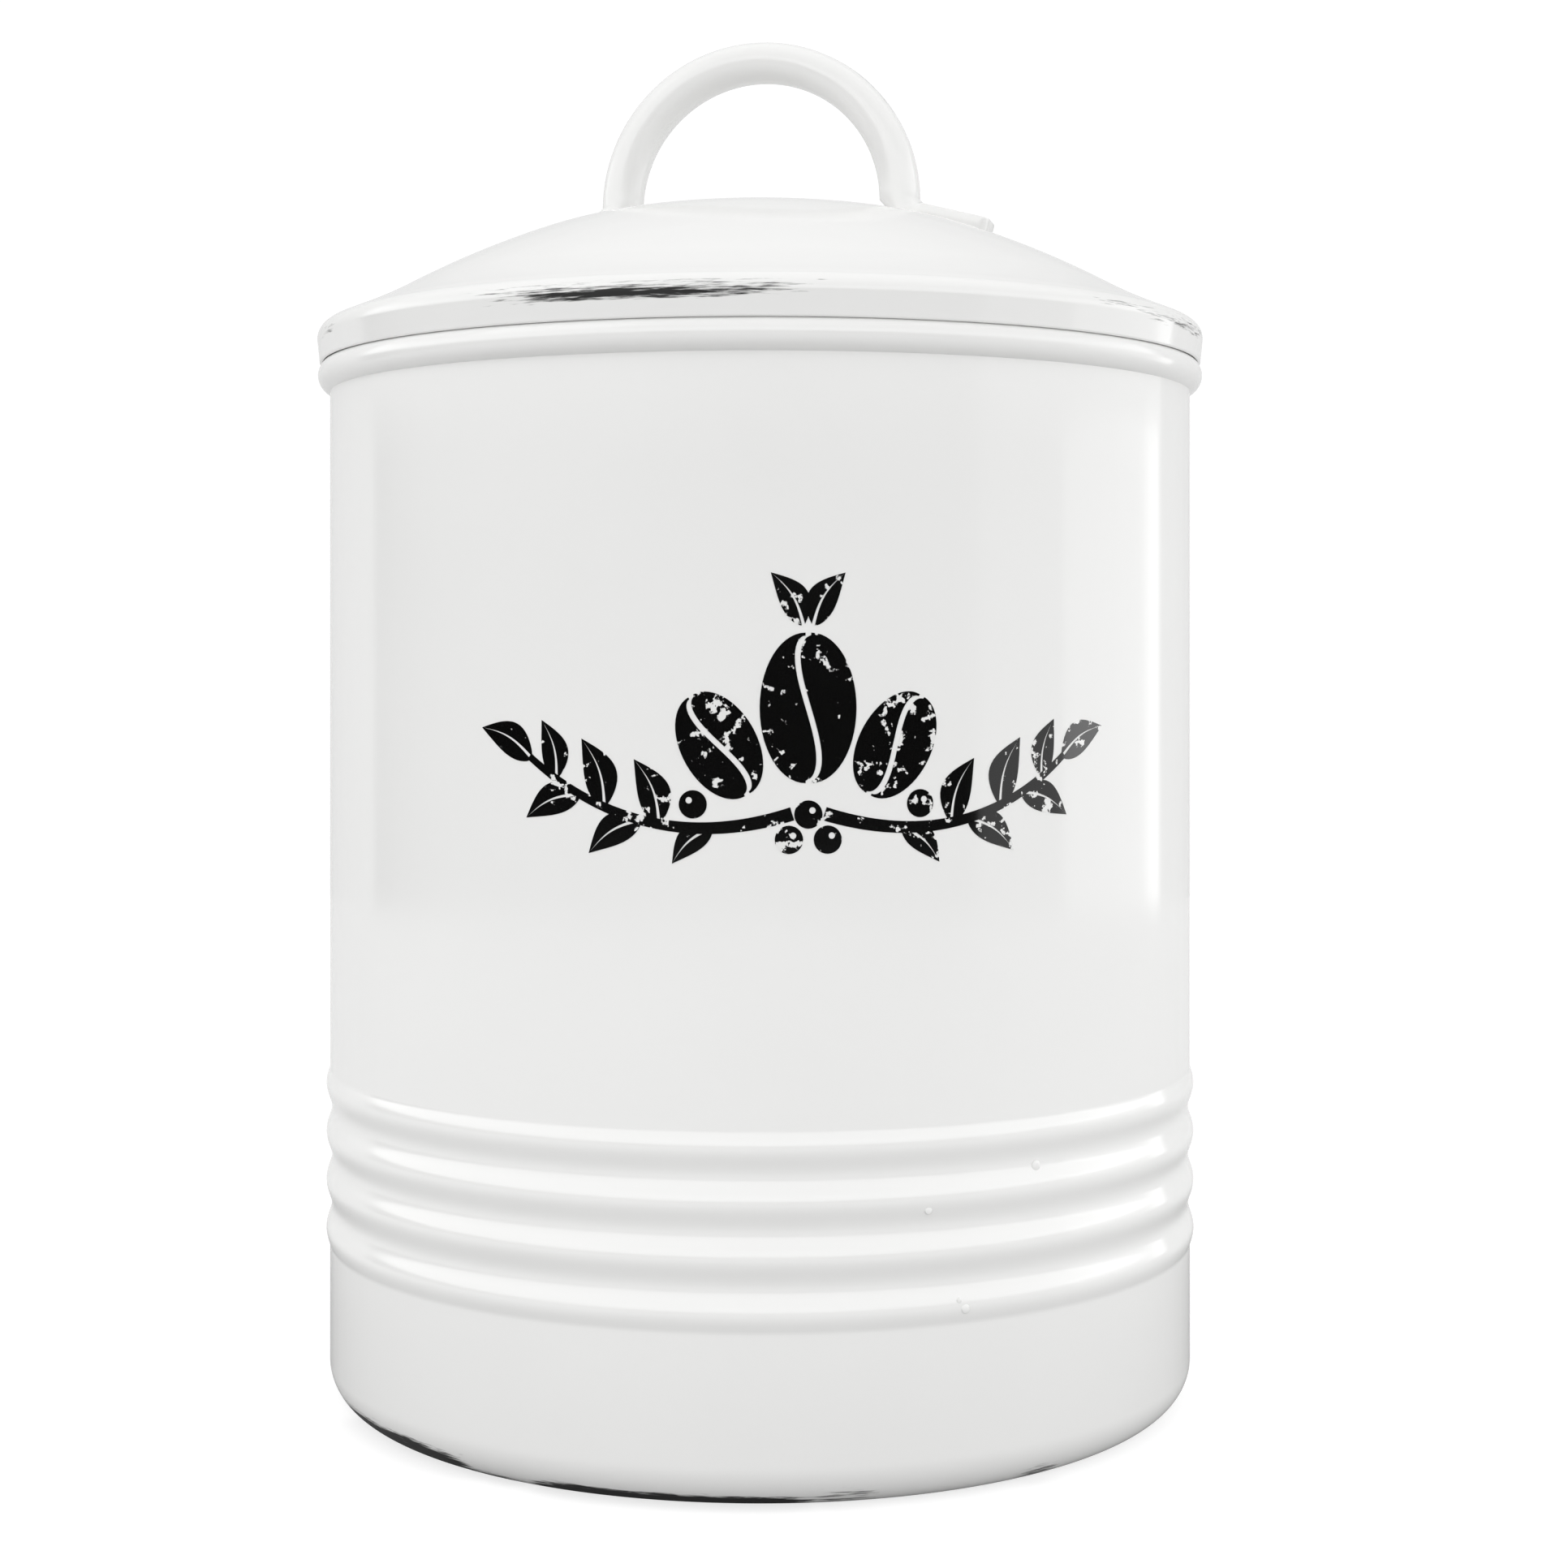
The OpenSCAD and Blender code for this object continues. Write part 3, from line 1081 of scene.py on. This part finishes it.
@dataclass
class Handle:
    """The arched bar with a flattened foot on each side."""

    turn: float = -18.0
    outer: float = 23.6 * MM
    thick: float = 5.8 * MM
    wide: float = 7.6 * MM
    square: float = 2.2
    tab_thick: float = 1.9 * MM
    tab_wide: float = 8.4 * MM
    tab_end: float = 33.8 * MM
    tab_corner: float = 1.3 * MM
    tab_slope: float = 14.5
    tab_square: float = 14.0
    tab_lift: float = 0.75 * MM
    tab_joints: tuple[float, ...] = (0.35, 0.7)
    heel_gap: float = 0.25 * MM
    splay: float = 1.1 * MM
    ring_points: int = 48
    arch_steps: int = 28
    heel_steps: int = 12
    corner_steps: int = 6
    crease: float = 50.0
    scrapes: tuple[Scrape, ...] = (Scrape(47.0, 16.0, -1.2 * MM, 0.8 * MM, 0.62),)
    spring: float = field(init=False)
    crown: float = field(init=False)
    middle: float = field(init=False)

    def __post_init__(self) -> None:
        """Reads the top of the arch and of the dome off the CAD."""
        self.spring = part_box("handle")[1].z - self.outer
        self.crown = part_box("lid_dome")[1].z
        self.middle = self.outer - self.thick / 2

    def _unroll(self, spot: Vector) -> tuple[float, float, float]:
        """Unrolls a spot along the arch, and round its bar from the arch's outermost line.

        Args:
            spot: The spot, in metres.

        Returns:
            Angle from the arch's top in degrees, way round the bar towards the back, and radius.
        """
        square_on = Matrix.Rotation(math.radians(-self.turn), 3, "Z") @ spot
        rise = square_on.z - self.spring
        radius = math.hypot(square_on.x, rise)
        round_bar = math.atan2(square_on.y, radius - self.middle) * self.wide / 2
        return math.degrees(math.atan2(square_on.x, rise)), round_bar, radius

    def _stations(self) -> list[Station]:
        """Lists the sections from the leg's top through the heel to the foot's square end.

        Returns:
            The sections in order.
        """
        leg_top = Vector((self.middle, 0, self.spring))
        stations = [Station(leg_top, 0.0, self.thick, self.wide, self.square)]
        heel_end = 90 - self.tab_slope
        pivot = Vector((self.outer + self.splay, 0, self.crown + self.tab_thick - self.tab_lift))
        for i in range(1, self.heel_steps + 1):
            share = i / self.heel_steps
            flat = math.sin(math.pi / 2 * share)
            turn = math.radians(heel_end * share)
            thick = self.thick + (self.tab_thick - self.thick) * flat
            outward = Vector((-math.cos(turn), 0, -math.sin(turn)))
            centre = pivot + outward * (self.heel_gap + thick / 2)
            wide = self.wide + (self.tab_wide - self.wide) * flat
            square = self.square + (self.tab_square - self.square) * share
            stations.append(Station(centre, heel_end * share, thick, wide, square))
        heel = stations[-1].centre
        slope = math.radians(self.tab_slope)
        along = Vector((math.cos(slope), 0, -math.sin(slope)))
        straight = (self.tab_end - heel.x) / math.cos(slope) - self.tab_corner
        steps = [(straight * share, 0.0) for share in self.tab_joints]
        for i in range(self.corner_steps + 1):
            turn = math.pi / 2 * i / self.corner_steps
            steps.append(
                (straight + self.tab_corner * math.sin(turn), self.tab_corner * (1 - math.cos(turn)))
            )
        for run, trim in steps:
            wide = self.tab_wide - 2 * trim
            stations.append(Station(heel + along * run, heel_end, self.tab_thick, wide, self.tab_square))
        return stations

    def build(self, enamel: bpy.types.Material) -> bpy.types.Object:
        """Models one half from the crown of the arch to the foot's end, and mirrors it.

        Args:
            enamel: The handle's finish.

        Returns:
            The handle.
        """
        bm = bmesh.new()
        stations = self._stations()
        ring = bmesh.ops.create_circle(bm, cap_ends=False, segments=self.ring_points, radius=1.0)
        round_section = Station(Vector(), 0.0, 2.0, 2.0, 2.0)
        self._reshape(bm, ring["verts"], round_section, stations[0])
        edges = list(bm.edges)
        spun = bmesh.ops.spin(
            bm,
            geom=list(bm.verts) + edges,
            cent=(0, 0, self.spring),
            axis=(0, -1, 0),
            angle=math.pi / 2,
            steps=self.arch_steps,
        )
        for part in spun["geom_last"]:
            if isinstance(part, bmesh.types.BMVert):
                part.co.x = 0.0
        for start, end in zip(stations, stations[1:]):
            made = bmesh.ops.extrude_edge_only(bm, edges=edges)["geom"]
            edges = [part for part in made if isinstance(part, bmesh.types.BMEdge)]
            verts = [part for part in made if isinstance(part, bmesh.types.BMVert)]
            self._reshape(bm, verts, start, end)
        bmesh.ops.contextual_create(bm, geom=edges)
        whole = list(bm.verts) + list(bm.edges) + list(bm.faces)
        bmesh.ops.mirror(bm, geom=whole, merge_dist=WELD, axis="X")
        bmesh.ops.remove_doubles(bm, verts=bm.verts, dist=WELD)
        bmesh.ops.recalc_face_normals(bm, faces=bm.faces)
        turn = Matrix.Rotation(math.radians(self.turn), 3, "Z")
        bmesh.ops.rotate(bm, verts=bm.verts, cent=(0, 0, 0), matrix=turn)
        handle = finish_mesh(bm, "handle_arched_bar", self.crease)
        paint_wear(handle.data, self.scrapes, self._unroll)
        return dress(handle, enamel, Body.LID, "handle")

    @staticmethod
    def _reshape(
        bm: bmesh.types.BMesh, verts: list[bmesh.types.BMVert], start: Station, end: Station
    ) -> None:
        """Moves a ring of vertices from one section of the bar to another.

        Args:
            bm: The handle's bmesh.
            verts: The ring's vertices, which lie on the first section.
            start: The section where they lie.
            end: The section where they go.
        """
        bmesh.ops.translate(bm, verts=verts, vec=-start.centre)
        bmesh.ops.rotate(bm, verts=verts, cent=(0, 0, 0), matrix=start.tilt(back=True))
        power = start.square / end.square
        for vertex in verts:
            across, along = 2 * vertex.co.x / start.thick, 2 * vertex.co.y / start.wide
            vertex.co.x = math.copysign(abs(across) ** power, across) * end.thick / 2
            vertex.co.y = math.copysign(abs(along) ** power, along) * end.wide / 2
        bmesh.ops.rotate(bm, verts=verts, cent=(0, 0, 0), matrix=end.tilt())
        bmesh.ops.translate(bm, verts=verts, vec=end.centre)


# ---------------------------------------------------------------- the stage


@dataclass(frozen=True)
class Softbox:
    """A rectangular lamp that faces the tin: angles in degrees, azimuth from the camera's."""

    name: str
    azimuth: float
    elevation: float
    width: float
    height: float
    radiance: float
    reach: float = 0.95


@dataclass
class Studio:
    """A round pale table in a white tent that is dark at the horizon, soft lights and the camera."""

    camera_azimuth: float = -5.5
    distance: float = 387.5 * MM
    eye_height: float = 105.7 * MM
    aim_height: float = 100 * MM
    sensor: float = 36.0
    lens: float = 60.9
    shift: tuple[float, float] = (0.0153, -0.0823)
    nearest: float = 10 * MM
    table_radius: float = 800 * MM
    table_segments: int = 128
    # painted shadow on the table: the paper that lights the tin is darker near it, lightening between
    # these radii
    painted_shadow_radii: tuple[float, float] = (95 * MM, 190 * MM)
    paper_in_painted_shadow: float = 0.42
    paper_far: float = 0.71
    paper_glow: float = 0.03
    seen_paper: float = 0.36
    seen_glow: float = 0.73
    backdrop: float = 1.05
    tent_side: float = 2.25
    tent_roof: float = 1.0
    tent_back: float = 0.75
    hem_angles: tuple[float, float] = (4.0, 8.5)
    roof_angles: tuple[float, float] = (18.0, 32.0)
    back_angles: tuple[float, float] = (116.1, 122.7)
    softboxes: tuple[Softbox, ...] = (
        Softbox("light_left", -62.0, 42.0, 0.60, 0.40, 1.0),
        Softbox("light_right", 91.0, -1.0, 1.36, 0.40, 0.5),
        Softbox("light_right_core", 103.0, 0.0, 0.75, 0.24, 0.9),
    )

    def build(self) -> None:
        """Builds table, world, lights and camera."""
        self._table()
        self._world()
        for softbox in self.softboxes:
            self._hang(softbox)
        self._camera()

    def _direction(self, azimuth: float, elevation: float) -> Vector:
        """Gives the direction from the tin, azimuth measured from the camera, positive to the right."""
        turn, lift = math.radians(azimuth + self.camera_azimuth), math.radians(elevation)
        return Vector((math.sin(turn) * math.cos(lift), -math.cos(turn) * math.cos(lift), math.sin(lift)))

    def _table(self) -> None:
        """Lays the round table: paper with a painted shadow, darker near the tin, as the tin sees it,
        glowing paper as the camera does.
        """
        bm = bmesh.new()
        bmesh.ops.create_circle(
            bm, cap_ends=True, segments=self.table_segments, radius=self.table_radius
        )
        table = finish_mesh(bm, "floor")
        material, tree = new_tree("pale_light_table")
        seen = add_node(tree, "ShaderNodeLightPath").outputs["Is Camera Ray"]
        place = add_node(tree, "ShaderNodeTexCoord").outputs["Object"]
        away = add_node(tree, "ShaderNodeVectorMath", {0: place}, operation="LENGTH")
        # painted shadow: the paper's tone, as the tin sees it, is darker round the tin and lightens
        # between the two radii
        painted_shadow_fade = add_node(
            tree,
            "ShaderNodeMapRange",
            {"Value": away, "From Min": self.painted_shadow_radii[0], "From Max": self.painted_shadow_radii[1]},
            interpolation_type="SMOOTHSTEP",
        )
        paper = add_node(
            tree,
            "ShaderNodeMath",
            {0: painted_shadow_fade, 1: self.paper_far - self.paper_in_painted_shadow, 2: self.paper_in_painted_shadow},
            operation="MULTIPLY_ADD",
        )
        sheets = []
        for tone, glow in ((paper, self.paper_glow), ((self.seen_paper,) * 3 + (1.0,), self.seen_glow)):
            cloth = add_node(tree, "ShaderNodeBsdfDiffuse", {"Color": tone})
            lamp = add_node(tree, "ShaderNodeEmission", {"Strength": glow})
            sheets.append(add_node(tree, "ShaderNodeAddShader", {0: cloth, 1: lamp}))
        both = add_node(tree, "ShaderNodeMixShader", {0: seen, 1: sheets[0], 2: sheets[1]})
        add_node(tree, "ShaderNodeOutputMaterial", {"Surface": both})
        table.data.materials.append(material)

    def _world(self) -> None:
        """Puts a white tent round the table, before a backdrop that shows pure white."""
        world = bpy.data.worlds.new("white_tent")
        world.use_nodes = True
        tree = world.node_tree
        tree.nodes.clear()
        heading = add_node(tree, "ShaderNodeTexCoord").outputs["Generated"]
        rise = add_node(tree, "ShaderNodeSeparateXYZ", {0: heading}).outputs["Z"]
        ahead = add_node(
            tree,
            "ShaderNodeVectorMath",
            {0: heading, 1: self._direction(0, 0)},
            operation="DOT_PRODUCT",
        )
        hem, roof, behind = (
            add_node(
                tree,
                "ShaderNodeMapRange",
                {"Value": value, "From Min": share(low), "From Max": share(high)},
                interpolation_type="SMOOTHSTEP",
            )
            for value, share, low, high in (
                (rise, math.sin, *map(math.radians, self.hem_angles)),
                (rise, math.sin, *map(math.radians, self.roof_angles)),
                (ahead, math.cos, *map(math.radians, self.back_angles)),
            )
        )
        cloth = add_node(
            tree,
            "ShaderNodeMath",
            {0: roof, 1: self.tent_roof - self.tent_side, 2: self.tent_side},
            operation="MULTIPLY_ADD",
        )
        front = add_node(tree, "ShaderNodeMath", {0: hem, 1: cloth}, operation="MULTIPLY")
        strength = add_node(tree, "ShaderNodeMix", {"Factor": behind, "A": front, "B": self.tent_back})
        tent = add_node(tree, "ShaderNodeBackground", {"Strength": strength})
        backdrop = add_node(tree, "ShaderNodeBackground", {"Strength": self.backdrop})
        for light in (tent, backdrop):
            light.inputs["Color"].default_value = (1.0, 1.0, 1.0, 1.0)
        seen = add_node(tree, "ShaderNodeLightPath").outputs["Is Camera Ray"]
        both = add_node(tree, "ShaderNodeMixShader", {0: seen, 1: tent, 2: backdrop})
        add_node(tree, "ShaderNodeOutputWorld", {"Surface": both})
        bpy.context.scene.world = world

    def _hang(self, softbox: Softbox) -> None:
        """Hangs a softbox so that it faces the tin's middle.

        Args:
            softbox: The lamp's place, size and brightness.
        """
        light = bpy.data.lights.new(softbox.name, "AREA")
        light.shape = "RECTANGLE"
        light.size, light.size_y = softbox.width, softbox.height
        light.energy = softbox.radiance * math.pi * softbox.width * softbox.height
        lamp = bpy.data.objects.new(softbox.name, light)
        towards = self._direction(softbox.azimuth, softbox.elevation)
        lamp.location = Vector((0, 0, self.aim_height)) + towards * softbox.reach
        lamp.rotation_euler = (-towards).to_track_quat("-Z", "Y").to_euler()
        bpy.context.scene.collection.objects.link(lamp)

    def _camera(self) -> None:
        """Sets the camera level with the tin's middle."""
        data = bpy.data.cameras.new("camera")
        data.sensor_width = self.sensor
        data.lens = self.lens
        data.shift_x, data.shift_y = self.shift
        data.clip_start = self.nearest
        camera = bpy.data.objects.new("camera", data)
        camera.location = self._direction(0, 0) * self.distance + Vector((0, 0, self.eye_height))
        camera.rotation_euler = (math.pi / 2, 0, math.radians(self.camera_azimuth))
        bpy.context.scene.collection.objects.link(camera)
        bpy.context.scene.camera = camera


def main() -> None:
    """Builds the studio and every piece of the tin."""
    logging.basicConfig(level=logging.INFO, format="%(name)s: %(message)s")
    bpy.context.scene.view_settings.view_transform = "Standard"
    Studio().build()
    enamel = WornEnamel().build()
    can = Can()
    can.build_shell(enamel)
    can.build_pimples(enamel)
    FrontPrint(can).build(StampedInk().build())
    Lid(can).build_dome(enamel)
    Handle().build(enamel)
    steel = ZincPlatedSteel().build()
    silicone = MouldedSilicone().build()
    for node, finish in (("mouth_wire", steel), ("lid_collar", steel), ("lid_seal", silicone)):
        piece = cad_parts[node]
        piece.data.materials.clear()
        piece.data.materials.append(finish)


if __name__ == "__main__":
    main()
